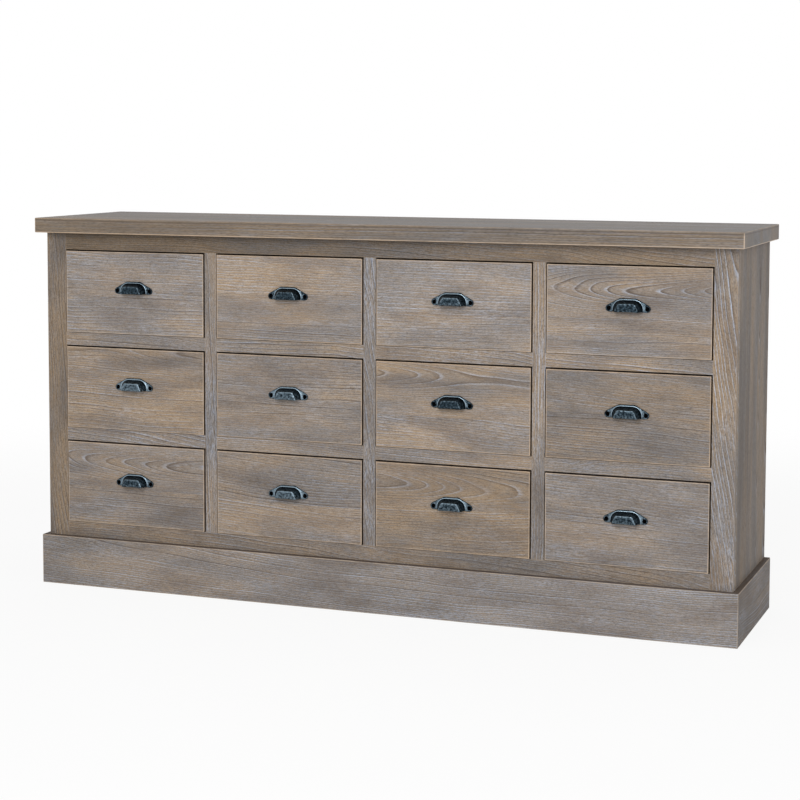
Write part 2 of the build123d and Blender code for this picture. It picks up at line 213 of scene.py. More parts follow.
# Noise keeps near its middle, so only a span there is used: a narrow one gives clear borders
FULL, MIDDLE, NARROW = ({"From Min": 0.5 - reach, "From Max": 0.5 + reach} for reach in (0.2, 0.15, 0.12))


def marks(tree, grain, bent):
    """Noise for fibres and pores, which follow the bent rings, and for patches and clouds of stain."""
    made = []
    for where, (length, width, detail) in ((bent, FIBRE), (bent, PORE), (grain, PATCH), (grain, CLOUD)):
        scaled = add(tree, "VectorMath", {0: where, 1: spread(length, width)}, operation="MULTIPLY")
        noise = add(tree, "TexNoise", {"Vector": scaled, "Scale": 1.0, "Detail": detail, "Roughness": 0.58})
        made.append(noise)
    return made


print("fibres in mm:", FIBRE[:2], "pores in mm:", PORE[:2])

# %% The wood under its finish
LATE_LEAST, LATE_MOST = 0.25, 0.8


def bare_wood(tree, hue, warmth, late, patch):
    """The body of the wood, from grey to tan, and the dark lines of late wood, both in patches."""
    swing = add(tree, "MapRange", {"Value": patch, **MIDDLE, "To Min": -0.25, "To Max": 0.85})
    tan_share = add(tree, "Math", {0: swing, 1: warmth}, operation="ADD", use_clamp=True)
    body = add(tree, "Mix", {"Factor": tan_share, "A": hue["grey"], "B": hue["tan"]}, data_type="RGBA")
    blue = add(tree, "SeparateXYZ", {0: patch.outputs["Color"]}).outputs[2]
    kept = add(tree, "MapRange", {"Value": blue, **NARROW, "To Min": LATE_LEAST, "To Max": LATE_MOST})
    lines = add(tree, "Math", {0: late, 1: kept}, operation="MULTIPLY")
    return add(tree, "Mix", {"Factor": lines, "A": body, "B": hue["late"]}, data_type="RGBA")


print("strength of the dark lines:", LATE_LEAST, "to", LATE_MOST)

# %% Wax, pores and stain
WIPED, SMEAR, SMUDGE = 0.3, 0.45, 0.55


def limed(tree, hue, lined, wax, early, fibre, pores, patch, cloud):
    """Wax in the early wood and smeared over some patches, then pores and smudges of stain."""
    green = add(tree, "SeparateXYZ", {0: patch.outputs["Color"]}).outputs[1]
    wiped = add(tree, "MapRange", {"Value": green, **NARROW, "To Min": WIPED})
    drawn = add(tree, "Math", {0: early, 1: wiped}, operation="MULTIPLY")
    dab = add(tree, "SeparateXYZ", {0: cloud.outputs["Color"]}).outputs[1]
    smear = add(tree, "MapRange", {"Value": dab, "From Min": 0.52, "From Max": 0.7, "To Max": SMEAR})
    brush = add(tree, "MapRange", {"Value": fibre, "From Min": 0.4, "From Max": 0.65})
    daub = add(tree, "Math", {0: smear, 1: brush}, operation="MULTIPLY")
    held = add(tree, "Math", {0: drawn, 1: daub}, operation="MAXIMUM")
    lime = add(tree, "Math", {0: held, 1: wax}, operation="MULTIPLY")
    waxed = add(tree, "Mix", {"Factor": lime, "A": lined, "B": hue["lime"]}, data_type="RGBA")
    pored = add(tree, "Mix", {"Factor": pores, "A": waxed, "B": hue["pore"]}, data_type="RGBA")
    smudge = add(tree, "MapRange", {"Value": cloud, "From Min": 0.48, "From Max": 0.7, "To Max": SMUDGE})
    return add(tree, "Mix", {"Factor": smudge, "A": pored, "B": hue["stain"]}, data_type="RGBA")


print("wax left in wiped grain:", WIPED, "and in smears:", SMEAR)

# %% Streaks and tints
STREAK, ROUGH_CUT, BLOTCH = 0.2, 0.17, 0.13
COOL_FIBRE, WARM_FIBRE = (0.935, 1.0, 1.095, 1.0), (1.065, 1.0, 0.9, 1.0)


def streaked(tree, stained, brightness, fibre, speck, patch):
    """The board's own brightness, in streaks and blotches, with fibres of a cool or a warm tint."""
    streak = add(tree, "MapRange", {"Value": fibre, **FULL, "To Min": 1 - STREAK, "To Max": 1 + STREAK})
    rough_cut = add(tree, "MapRange", {"Value": speck, "From Min": 0.25, "From Max": 0.75,
                                       "To Min": 1 + ROUGH_CUT, "To Max": 1 - ROUGH_CUT})
    fine = add(tree, "Math", {0: streak, 1: rough_cut}, operation="MULTIPLY")
    red = add(tree, "SeparateXYZ", {0: patch.outputs["Color"]}).outputs[0]
    broad = add(tree, "MapRange", {"Value": red, **MIDDLE, "To Min": 1 - BLOTCH, "To Max": 1 + BLOTCH})
    blotchy = add(tree, "Math", {0: brightness, 1: broad}, operation="MULTIPLY")
    shade = add(tree, "Math", {0: blotchy, 1: fine}, operation="MULTIPLY")

    # The tint follows another channel of the fibre noise, and bright fibres lean to its cool side
    lean = add(tree, "VectorMath", {0: fibre.outputs["Color"], 1: (-0.5, 1.0, 0.0)}, operation="DOT_PRODUCT")
    turn = add(tree, "MapRange", {"Value": lean.outputs["Value"], "From Min": 0.1, "From Max": 0.4})
    tint = add(tree, "Mix", {"Factor": turn, "A": COOL_FIBRE, "B": WARM_FIBRE}, data_type="RGBA")
    tinted = add(tree, "VectorMath", {0: stained, 1: tint}, operation="MULTIPLY")
    return add(tree, "VectorMath", {0: tinted, "Scale": shade}, operation="SCALE")


print("fibres are darker or brighter by up to:", STREAK)

# %% A wood material
PORE_DARK = 0.3


def wood(name, colours, roughness, shine):
    """An oak surface whose colours follow the notes on the boards."""
    material, tree, output = new_material(name)
    hue = {layer: linear(code) for layer, code in colours.items()}
    grain = add(tree, "Attribute", {}, attribute_name="grain").outputs["Vector"]
    tone = add(tree, "Attribute", {}, attribute_name="tone").outputs["Vector"]
    darkening = add(tree, "Attribute", {}, attribute_name="darkening").outputs["Fac"]
    brightness, warmth, wax = add(tree, "SeparateXYZ", {0: tone}).outputs
    early, late, bent = rings(tree, grain)
    fibre, speck, patch, cloud = marks(tree, grain, bent)
    pores = add(tree, "MapRange", {"Value": speck, "From Min": 0.55, "From Max": 0.72, "To Max": PORE_DARK})

    # The finish, layer by layer, then worn edges and the darkening note, which is painted shade in the
    # drawers' joints
    lined = bare_wood(tree, hue, warmth, late, patch)
    stained = limed(tree, hue, lined, wax, early, fibre, pores, patch, cloud)
    shaded = streaked(tree, stained, brightness, fibre, speck, patch)
    bare = add(tree, "Mix", {"Factor": wax, "A": hue["edge"], "B": hue["pale edge"]}, data_type="RGBA")
    worn = add(tree, "Mix", {"Factor": worn_edge(tree), "A": shaded, "B": bare}, data_type="RGBA")
    # Darkening: painted shade in the drawers' joints, and dark brown on the plinth's ledge and below the
    # top's arris
    colour = add(tree, "Mix", {"Factor": darkening, "A": worn, "B": hue["darkening"]}, data_type="RGBA")

    # Brushed relief: early wood and pores lie a little below the late wood
    sunk = add(tree, "Math", {0: early, 1: -0.6, 2: fibre}, operation="MULTIPLY_ADD")
    relief = add(tree, "Math", {0: sunk, 1: pores}, operation="SUBTRACT")
    bump = add(tree, "Bump", {"Strength": 0.4, "Distance": 0.5 * MM, "Height": relief})
    matt = add(tree, "MapRange", {"Value": fibre, **FULL, "To Min": roughness - 0.08,
                                  "To Max": roughness + 0.1})
    shader = add(tree, "BsdfPrincipled", {"Base Color": colour, "Roughness": matt, "Normal": bump,
                                          "Specular IOR Level": shine})
    tree.links.new(shader.outputs[0], output.inputs["Surface"])
    return material


# Limed and brushed: a dry, chalky surface with pale lines in the grain
LIMED = {"grey": "#938b85", "tan": "#9d8a75", "late": "#574a40", "lime": "#bfc8d8", "pore": "#5c4e43",
         "stain": "#786d65", "edge": "#c4a482", "pale edge": "#cfc2b4", "darkening": "#4a3b30"}
limed_oak = wood("brushed_limed_oak", LIMED, roughness=0.72, shine=0.15)

# The same, rubbed with wax on the top: at a flat angle it mirrors some of the pale room
waxed_oak = wood("waxed_limed_oak", LIMED, roughness=0.6, shine=0.45)

# Planed and left raw: warm and even, with soft brown rings
RAW = {"grey": "#c3a680", "tan": "#b8966a", "late": "#94734b", "lime": "#d8c19c", "pore": "#8d6f4b",
       "stain": "#ab8d66", "edge": "#c9ab80", "pale edge": "#d8c19c", "darkening": "#6b5138"}
raw_oak = wood("planed_raw_oak", RAW, roughness=0.66, shine=0.15)
print("woods:", limed_oak.name, waxed_oak.name, raw_oak.name)

# %% [markdown]
# ## Boards sawn from logs
# A board is an outline seen from above, raised to its height, with its edges eased by a bevel. A cube could
# be stretched instead, but rebates and mitres need an outline. How a board lies in its log is a matrix: where
# the pith runs behind it, how the board leans and dives along its length, and how fine its rings are. A pith
# close behind the face gives arches, and one beyond an edge straight lines. Wide boards are glued up from
# staves, each sawn elsewhere.

# %% Notes on a board
X, Y, Z = range(3)
NOTES = ("grain", "place", "half", "tone")
LOG_REACH = 5.0  # a board may lie so many metres from the middle of its log
CALM = 0.4  # rings of the wide boards, compared with those of the others
TOUCH = MM / 10  # points closer than this to a plane count as lying on it
chance = random.Random(11)


def cut(pith, depth, lean=0.0, dive=0.0, fine=1.0):
    """How a board lies in its log. In mm, the pith is so far across from its middle and so deep behind it."""
    return Matrix(((1, 0, 0, chance.uniform(-LOG_REACH, LOG_REACH)), (lean, fine, 0, -pith * fine * MM),
                   (dive, 0, fine, -depth * MM), (0, 0, 0, 1)))


def any_cut(calm=1.0):
    """A cut at random. With calm under 1, from a tall, even log whose rings wander and taper slowly."""
    side = chance.choice((-1, 1))
    saw = cut(side * chance.uniform(40, 170), chance.uniform(30, 90), chance.uniform(-0.03, 0.03),
              side * chance.uniform(0.06, 0.13) * math.sqrt(calm), chance.uniform(0.85, 1.3))
    return Matrix.Diagonal((calm, 1, 1, 1)) @ saw


def notes(point, low, high, along, saw, tone):
    """What a point of a board carries, in the order of NOTES."""
    size = high - low
    across, deep = sorted((axis for axis in range(3) if axis != along), key=lambda axis: -size[axis])
    place = point - (low + high) / 2
    start, end = tone
    share = place[along] / size[along] + 0.5
    return saw @ Vector((place[along], place[across], place[deep])), place, size / 2, start.lerp(end, share)


def mark(bm, verts, *board):
    """Writes the notes of a board on some of a mesh's points."""
    layers = [bm.verts.layers.float_vector[name] for name in NOTES]
    for vert in verts:
        for layer, value in zip(layers, notes(vert.co, *board)):
            vert[layer] = value


def even(bright, warm, wax):
    """A tone that stays the same from one end of a board to the other."""
    return Vector((bright, warm, wax)), Vector((bright, warm, wax))


print("a cut, in the log:", [round(v, 3) for v in any_cut().translation])

# %% Board builder
EASE_STEPS = 3


def start_mesh():
    """An empty mesh whose points can carry the notes that the wood reads."""
    bm = bmesh.new()
    for name in NOTES:
        bm.verts.layers.float_vector.new(name)
    bm.verts.layers.float.new("darkening")
    bm.verts.layers.float.new("wear")
    return bm


def add_board(bm, outline, bottom, top, along, tone, ease, eased=None, saw=None, wear=0.5):
    """Raises an outline to a board and eases its edges, or only those whose ends both pass the test eased."""
    before = set(bm.verts)
    base = bm.faces.new([bm.verts.new((x, y, bottom)) for x, y in outline])
    raised = bmesh.ops.extrude_face_region(bm, geom=[base])["geom"]
    lifted = [part for part in raised if isinstance(part, BMVert)]
    bmesh.ops.translate(bm, vec=(0, 0, top - bottom), verts=lifted)
    mine = [vert for vert in bm.verts if vert not in before]
    low = Vector(map(min, *(vert.co for vert in mine)))
    high = Vector(map(max, *(vert.co for vert in mine)))
    edges = {edge for vert in mine for edge in vert.link_edges}
    chosen = [edge for edge in edges if eased is None or all(eased(vert.co) for vert in edge.verts)]
    bmesh.ops.bevel(bm, geom=chosen, offset=ease, segments=EASE_STEPS, profile=0.5, affect="EDGES",
                    material=-1)
    mine = [vert for vert in bm.verts if vert not in before]
    mark(bm, mine, low, high, along, saw or any_cut(), tone)
    for vert in mine:
        vert[bm.verts.layers.float["wear"]] = wear


def rectangle(left, right, front, back):
    return [(left, front), (right, front), (right, back), (left, back)]


print("facets of an eased edge:", EASE_STEPS)

# %% Staves
STAVE_BRIGHT, STAVE_WARM = 0.04, 0.06  # how far a stave may differ from its board


def slice_by(bm, at, normal):
    """Cuts all of a mesh by a plane, and gives the cut's points and edges."""
    parts = bm.verts[:] + bm.edges[:] + bm.faces[:]
    return bmesh.ops.bisect_plane(bm, geom=parts, plane_co=at, plane_no=normal)["geom_cut"]


def glue_up(bm, low, high, along, tone, seams, saws):
    """Splits a board across its width, at seams given as shares of it, into staves from different logs."""
    across = max((axis for axis in range(3) if axis != along), key=lambda axis: (high - low)[axis])
    normal = Vector([float(axis == across) for axis in range(3)])
    width = (high - low)[across]
    for seam in seams:
        line = slice_by(bm, low + normal * seam * width, normal)
        bmesh.ops.split_edges(bm, edges=[part for part in line if isinstance(part, BMEdge)])
    limits = [0.0, *seams, 1.0]
    for start, end, saw in zip(limits, limits[1:], saws):
        verts = set()
        for face in bm.faces:
            if start < (face.calc_center_median() - low)[across] / width <= end:
                verts.update(face.verts)
        brighter = chance.uniform(-STAVE_BRIGHT, STAVE_BRIGHT)
        change = Vector((brighter, chance.uniform(-STAVE_WARM, STAVE_WARM), 0))
        mark(bm, verts, low, high, along, saw, [part + change for part in tone])


print("a stave may be brighter or darker by:", STAVE_BRIGHT)

# %% From a mesh to an object
def show(bm, name, material, body, nodes):
    """Makes an object of a mesh that rides on a body and stands for its CAD nodes."""
    bmesh.ops.recalc_face_normals(bm, faces=bm.faces[:])
    mesh = bpy.data.meshes.new(name)
    bm.to_mesh(mesh)
    bm.free()
    mesh.materials.append(material)
    piece = bpy.data.objects.new(name, mesh)
    scene.collection.objects.link(piece)
    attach(piece, body)
    if nodes:
        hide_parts(*nodes)
    return piece


print("notes on each board:", ", ".join(NOTES))

# %% [markdown]
# ## Top and sides
# The top is glued up from four staves and each side from three. The staves could be built one by one, but
# slicing a finished board by planes and noting each part anew keeps its faces flush and its outer edges eased
# in one go. The top's edges are eased by 2 mm. Its face is painted greyer than its edges, a painted
# reflection of the pale room, the upper arris kept more stain than the lower one, and a thin dark line is
# drawn a little below it. The sides have a rebate behind for the back, and are darker than the fronts and
# towards the bottom, as painted shade.

# %% Top board
low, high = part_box("top_panel")
TOP_TONE = (Vector((0.56, 0.7, 0.25)), Vector((0.58, 0.05, 0.6)))
# Painted reflection: the top's face is made greyer than its edges, as the pale room would show on it at a
# flat angle
PAINTED_FACE_SHEEN = Vector((0.05, -0.7, 0.1))
TOP_EASE, UPPER_WEAR = 2.0 * MM, 0.4
TOP_SEAMS = (0.22, 0.5, 0.76)  # shares of the depth, from the front
DARK_LINE = ((3.0, 0.0), (4.5, 0.6), (7.0, 0.0))  # mm below the top, and how dark the line is there
EDGE_PLACE = (1.7, 250 * MM, -60 * MM)  # where the front stave lay in its log
bm = start_mesh()
add_board(bm, rectangle(low.x, high.x, low.y, high.y), low.z, high.z, X, TOP_TONE, TOP_EASE, wear=2.0)
for drop, darkness in DARK_LINE:
    for part in slice_by(bm, high - Vector((0, 0, drop * MM)), Vector((0, 0, 1))):
        if isinstance(part, BMVert):
            part[bm.verts.layers.float["darkening"]] = darkness
saws = [any_cut(CALM) for stave in range(len(TOP_SEAMS) + 1)]
# The front stave was sawn away from the pith, so straight lines run along its edge
saws[0] = Matrix.Translation(EDGE_PLACE) @ Matrix.Diagonal((CALM, 1, 1, 1))
glue_up(bm, low, high, X, TOP_TONE, TOP_SEAMS, saws)
for vert in bm.verts:
    if vert.co.z > high.z - TOUCH:
        # Painted reflection: the face turns greyer
        vert[bm.verts.layers.float_vector["tone"]] += PAINTED_FACE_SHEEN
    if vert.co.z > high.z - TOP_EASE - TOUCH:
        vert[bm.verts.layers.float["wear"]] = UPPER_WEAR
show(bm, "top_board", waxed_oak, "case", ["top_panel"])
print("staves in the top:", len(saws))

# %% Side panels
SIDE_EASE = 0.2 * MM
SIDE_SEAMS = (0.36, 0.7)
back_low, back_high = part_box("back_panel")
# Painted shade: the sides are darker than the fronts, and darker at the bottom than at the top
SIDE_TONE_WITH_SHADE = (Vector((0.72, -0.12, 0.4)), Vector((0.82, -0.12, 0.4)))
for side, sign in (("left", -1), ("right", 1)):
    low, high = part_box(f"{side}_side_panel")
    inner, outer = (low.x, high.x) if sign > 0 else (high.x, low.x)
    step = back_high.x * sign
    outline = [(inner, low.y), (outer, low.y), (outer, high.y), (step, high.y), (step, back_low.y),
               (inner, back_low.y)]
    bm = start_mesh()
    add_board(bm, outline, low.z, high.z, Z, SIDE_TONE_WITH_SHADE, SIDE_EASE, wear=0.3)
    saws = [any_cut(CALM) for stave in range(len(SIDE_SEAMS) + 1)]
    glue_up(bm, low, high, Z, SIDE_TONE_WITH_SHADE, SIDE_SEAMS, saws)
    show(bm, f"{side}_side", limed_oak, "case", [f"{side}_side_panel"])
print("staves in a side:", len(saws))

# %% [markdown]
# ## Face frame
# Posts and mullions run upright and rails run across between them, so their grain turns with them. One board
# with holes for the drawers would be quicker, but its grain would run the wrong way in half of the frame. The
# CAD members have tenons, which stay hidden in the joints: the boards here end at the shoulders. The right
# post was sawn near the pith, and its rings make long arches. The upper rail is darker at its left end.

# %% Posts and mullions
posts = [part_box("left_front_post"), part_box("right_front_post")]
front, back = posts[0][0].y, posts[0][1].y
top_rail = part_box("top_rail")
bottom_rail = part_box("bottom_rail")
mullions = [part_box(f"mullion_{number}") for number in (1, 2, 3)]
FRAME_EASE = 0.7 * MM


def frame_member(name, node, spans, along, tone, saw=None):
    """Boards between frame front and back, each given by its ends on X and Z."""
    bm = start_mesh()
    for left, right, bottom, top in spans:
        outline = rectangle(left, right, front, back)
        add_board(bm, outline, bottom, top, along, tone, FRAME_EASE, saw=saw, wear=0.2)
    show(bm, name, limed_oak, "case", [node])


for name, (low, high), saw, tone in (
        ("left", posts[0], cut(60, 60, lean=0.02, dive=0.05), even(0.71, 0.3, 0.3)),
        ("right", posts[1], cut(72, 14, lean=0.1, dive=0.03, fine=0.75), even(0.97, 0.45, 0.85))):
    frame_member(f"{name}_post", f"{name}_front_post", [(low.x, high.x, low.z, high.z)], Z, tone, saw)
for number, (low, high) in enumerate(mullions, 1):
    span = (low.x, high.x, bottom_rail[1].z, top_rail[0].z)
    frame_member(f"upright_{number}", f"mullion_{number}", [span], Z, even(0.9, -0.1, 0.7))
print("uprights:", len(posts) + len(mullions))

# %% Rails
inner = (posts[0][1].x, posts[1][0].x)
# The upper rail is darker than the other rails, partly its own colour and partly painted shade under the
# top's overhang; its left end is browner
UPPER_TONE_WITH_SHADE = (Vector((0.52, 0.75, 0.2)), Vector((0.74, 0.1, 0.4)))
LOWER_TONE = (Vector((0.78, 0.15, 0.4)), Vector((0.74, -0.2, 0.5)))
frame_member("upper_rail", "top_rail", [(*inner, top_rail[0].z, top_rail[1].z)], X, UPPER_TONE_WITH_SHADE)
frame_member("lower_rail", "bottom_rail", [(*inner, bottom_rail[0].z, bottom_rail[1].z)], X, LOWER_TONE)

low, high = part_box("drawer_rails")
opening = low.z - bottom_rail[1].z
rail = (high.z - low.z - opening) / 2
uprights = [posts[0], *mullions, posts[1]]
spans = [(left[1].x, right[0].x, bottom, bottom + rail) for bottom in (low.z, high.z - rail)
         for left, right in zip(uprights, uprights[1:])]
frame_member("row_rails", "drawer_rails", spans, X, even(0.96, 0.05, 0.5))
print("drawer rails:", len(spans), "of mm:", round(rail / MM))

# %% [markdown]
# ## Plinth
# The plinth boards are mitred at the front corners, so each is an outline with slanting ends, and only its
# outer edges are eased: a bevel all round would open the mitres. The points of their top faces, the ledge
# round the case, get the darkening note, which draws the ledge dark brown. The front is browner at its left
# end.

# %% Plinth boards
# How dark the ledge is drawn: the top faces of the plinth boards
PLINTH_EASE, LEDGE_DARKENING = 1.5 * MM, 0.75
LEVEL = 0.9  # a face is level if its normal rises by more than this
PLINTH_TONE = (Vector((0.87, -0.25, 0.55)), Vector((0.95, -0.8, 0.95)))


def plinth_board(name, node, outline, along, tone, eased):
    """A plinth board whose top face is drawn dark brown."""
    low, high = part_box(node)
    bm = start_mesh()
    add_board(bm, outline, low.z, high.z, along, tone, PLINTH_EASE, eased, wear=0.8)
    bm.normal_update()
    for face in bm.faces:
        if abs(face.normal.z) > LEVEL and face.calc_center_median().z > (low.z + high.z) / 2:
            for vert in face.verts:
                vert[bm.verts.layers.float["darkening"]] = LEDGE_DARKENING
    show(bm, name, limed_oak, "case", [node])


low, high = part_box("plinth_front")
thick = high.y - low.y
outline = [(low.x, low.y), (high.x, low.y), (high.x - thick, high.y), (low.x + thick, high.y)]
plinth_board("plinth_face", "plinth_front", outline, X, PLINTH_TONE,
             lambda p, at=low.y: abs(p.y - at) < TOUCH)
for side, sign in (("left", -1), ("right", 1)):
    low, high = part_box(f"plinth_{side}")
    inside, outer = (low.x, high.x) if sign > 0 else (high.x, low.x)
    outline = [(outer, low.y), (outer, high.y), (inside, high.y), (inside, low.y + thick)]
    # Painted shade: the ends are darker than the front, as the sides are
    plinth_board(f"plinth_end_{side}", f"plinth_{side}", outline, Y, even(0.74, -0.45, 0.8),
                 lambda p, at=outer: abs(p.x - at) < TOUCH)
print("plinth thickness in mm:", round(thick / MM))

# %% [markdown]
# ## Drawers
# A drawer front is two staves glued edge to edge, with its ends stepped back behind, so that the sides lap
# into it. Only its face edges are eased, and its narrow edges are darkened: painted shade that draws the thin
# dark joint round it. Fronts could all share one cut, but twelve alike would look printed. So each stave is
# sawn from its own place: most show straight lines, some the arches over the pith. The box behind is raw
# oak: two sides, a back and a thin bottom in grooves.

# %% How each front is sawn, and how much its pull is polished
Front = namedtuple("Front", "bright warm wax seam upper lower polish")
FRONTS = {
    "r1c1": Front(1.10, 0.02, 0.6, 0.45, cut(150, 60, lean=0.03), cut(-150, 70, lean=0.01), 0.0),
    "r1c2": Front(1.05, 0.10, 0.4, 0.55, cut(140, 40, lean=0.02), cut(-160, 60, fine=1.4), 0.1),
    "r1c3": Front(1.08, -0.20, 0.5, 0.40, cut(130, 30, dive=0.03), cut(-140, 60), 0.4),
    "r1c4": Front(1.01, 0.05, 0.55, 0.42, cut(48, 24, dive=0.12, fine=1.6),
                  cut(-160, 60, lean=0.01, fine=1.5), 0.1),
    "r2c1": Front(0.97, 0.38, 0.5, 0.55, cut(90, 34, lean=0.02, dive=0.05, fine=1.3), cut(-150, 80), 0.9),
    "r2c2": Front(0.95, -0.15, 0.4, 0.50, cut(150, 60, lean=0.02), cut(-140, 50, fine=1.2), 0.8),
    "r2c3": Front(1.01, 0.25, 0.4, 0.38, cut(62, 34, lean=0.05, dive=-0.05, fine=1.5),
                  cut(-150, 50, lean=0.03), 0.0),
    "r2c4": Front(0.86, 0.20, 0.4, 0.52, cut(130, 40, lean=0.08, fine=1.2),
                  cut(-130, 50, lean=0.05, fine=1.3), 0.4),
    "r3c1": Front(0.93, 0.05, 0.5, 0.45, cut(50, 34, dive=0.08, fine=1.4), cut(-140, 60, fine=1.2), 0.4),
    "r3c2": Front(0.95, 0.00, 0.5, 0.42, cut(130, 40, lean=0.04), cut(-150, 60, lean=0.05), 0.9),
    "r3c3": Front(0.94, 0.68, 0.4, 0.50, cut(50, 34, dive=-0.08, fine=1.4), cut(-120, 40, dive=0.03), 0.6),
    "r3c4": Front(0.97, -0.18, 0.6, 0.48, cut(130, 50, lean=0.06), cut(-130, 60, lean=0.05, fine=1.2), 0.5)}
print("drawer fronts:", len(FRONTS))

# %% Drawer fronts and boxes
BOX_SIDE, SHEET, SHEET_RISE, GROOVE = 12.0 * MM, 5.0 * MM, 8.0 * MM, 6.0 * MM
FRONT_EASE, BOX_EASE, SHEET_EASE = 0.9 * MM, 1.0 * MM, 0.4 * MM
RAW_TONE = even(1.0, 0.0, 0.3)
# Painted shade in the joint round each front: how dark, and from how far behind the face
JOINT_SHADE, JOINT_START = 0.85, 0.6 * MM

for place, sawn in FRONTS.items():
    drawer = f"drawer_{place}"
    low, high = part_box(f"{drawer}_front")
    box_low, box_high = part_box(f"{drawer}_box")
    left, right, step = box_low.x, box_high.x, box_low.y
    lap_left, lap_right = low.x + BOX_SIDE, high.x - BOX_SIDE
    outline = [(low.x, low.y), (high.x, low.y), (high.x, step), (lap_right, step), (lap_right, high.y),
               (lap_left, high.y), (lap_left, step), (low.x, step)]
    tone = even(sawn.bright, sawn.warm, sawn.wax)
    bm = start_mesh()
    add_board(bm, outline, low.z, high.z, X, tone, FRONT_EASE, lambda p, at=low.y: abs(p.y - at) < TOUCH,
              wear=1.0)
    glue_up(bm, low, high, X, tone, (sawn.seam,), (sawn.lower, sawn.upper))
    # Painted shade: the narrow edges and the back are darkened, so the joint round the front reads dark
    for vert in bm.verts:
        if vert.co.y > low.y + JOINT_START:
            vert[bm.verts.layers.float["darkening"]] = JOINT_SHADE
    show(bm, f"{drawer}_face", limed_oak, drawer, [f"{drawer}_front"])

    bm = start_mesh()
    for start, end in ((left, left + BOX_SIDE), (right - BOX_SIDE, right)):
        outline = rectangle(start, end, step, box_high.y)
        add_board(bm, outline, box_low.z, box_high.z, Y, RAW_TONE, BOX_EASE)
    sheet_bottom = box_low.z + SHEET_RISE
    outline = rectangle(left + BOX_SIDE, right - BOX_SIDE, box_high.y - BOX_SIDE, box_high.y)
    add_board(bm, outline, sheet_bottom + SHEET, box_high.z, X, RAW_TONE, BOX_EASE)
    outline = rectangle(left + BOX_SIDE - GROOVE, right - BOX_SIDE + GROOVE, high.y - GROOVE, box_high.y)
    add_board(bm, outline, sheet_bottom, sheet_bottom + SHEET, X, RAW_TONE, SHEET_EASE)
    show(bm, f"{drawer}_tray", raw_oak, drawer, [f"{drawer}_box"])
print("last drawer box in mm:", [round(v / MM) for v in box_high - box_low])

# %% [markdown]
# ## Cup pulls
# Each pull is a casting: a flat flange with an ear at each side, a raised rim that arches over the cup, and
# the cup, open below for the fingers. Cutting a cup out of solids would leave hard creases where they meet.
# Instead all of it is drawn as rings that start and end at the mouth, with the same number of points in each,
# so that neighbouring rings can be bridged. The inner side of the cup is a second set of rings. A subdivision
# surface rounds the net as a mould would. Each ring has a note of its patina and painted light: above zero it
# is bright, partly rubbed by fingers and partly a painted highlight, and below zero it is black, partly grime
# and partly painted shade in the groove, inside the cup and along the flange's edge. Some pulls are polished
# more than others.

# %% Arches, in mm
MOUTH = 6.8  # the mouth lies so far below the screws
SIDE_STEPS, ROUND_STEPS, FLAT_STEPS = 4, 6, 4


def mirrored(right_half):
    """A ring from left to right out of its right half, which ends in the middle."""
    return [(-x, z) for x, z in right_half] + right_half[-2::-1]


def between(first, last, steps):
    """Points on a straight line from the first point up to just before the last."""
    return [tuple(Vector(first).lerp(Vector(last), step / steps)) for step in range(steps)]


def arch(low_half, high_half, top, radius):
    """An arch with leaning sides and round shoulders, from mouth to mouth."""
    lean = Vector((high_half - low_half, top + MOUTH)).normalized()
    middle = Vector((high_half - radius * (1 + lean.x) / lean.y, top - radius))
    first = math.atan2(-lean.x, lean.y)
    turns = [first + (math.pi / 2 - first) * step / ROUND_STEPS for step in range(ROUND_STEPS)]
    shoulder = [(middle.x + radius * math.cos(turn), middle.y + radius * math.sin(turn)) for turn in turns]
    side = between((low_half, -MOUTH), shoulder[0], SIDE_STEPS)
    flat = between((middle.x, top), (0, top), FLAT_STEPS)
    return mirrored(side + shoulder + flat + [(0, top)])


print("points in an arch:", len(arch(3, 2, 2, 1)))

# %% Flange, rim and cup, in mm
EAR_X, EAR_RADIUS = 39.5, 7.5
FLANGE_TOP, FLANGE_FLAT, FLANGE_RADIUS, FLANGE = 20.5, 16.0, 3.0, 2.5
EAR_STEPS, SHOULDER_STEPS, CREST_STEPS, FOOT_GAP = 5, 4, 3, 1.0
RIM_HALF, RIM_TOP, RIM_RADIUS, RIM_HEIGHT, RIM_WIDTH = 33.0, 19.0, 20.0, 4.5, 3.0
FACE_LOW_HALF, FACE_HALF, FACE_TOP, FACE_RADIUS, LEAST_RADIUS = 26.0, 18.0, 11.0, 6.0, 1.5


def flange(inset):
    """The outline of the flange: an ear, a straight shoulder and a short flat on top."""
    ear, bend = EAR_RADIUS - inset, FLANGE_RADIUS - inset
    corner = Vector((FLANGE_FLAT, FLANGE_TOP - FLANGE_RADIUS))
    reach = Vector((EAR_X, 0)) - corner
    tangent = math.atan2(reach.y, reach.x) + math.acos((bend - ear) / reach.length)
    turns = [-math.pi / 2 + (tangent + math.pi / 2) * step / EAR_STEPS for step in range(EAR_STEPS)]
    rounded = [(EAR_X + ear * math.cos(turn), ear * math.sin(turn)) for turn in turns]
    out = Vector((math.cos(tangent), math.sin(tangent)))
    end = corner + bend * out
    shoulder = between(Vector((EAR_X, 0)) + ear * out, end, SHOULDER_STEPS)
    top = FLANGE_TOP - inset
    flat = between((FLANGE_FLAT, top), (0, top), CREST_STEPS)
    foot = (RIM_HALF + FOOT_GAP, -ear)
    return mirrored([foot] + rounded + shoulder + [tuple(end)] + flat + [(0, top)])


def rim(inset):
    return arch(RIM_HALF - inset, RIM_HALF - inset, RIM_TOP - inset, RIM_RADIUS - inset)


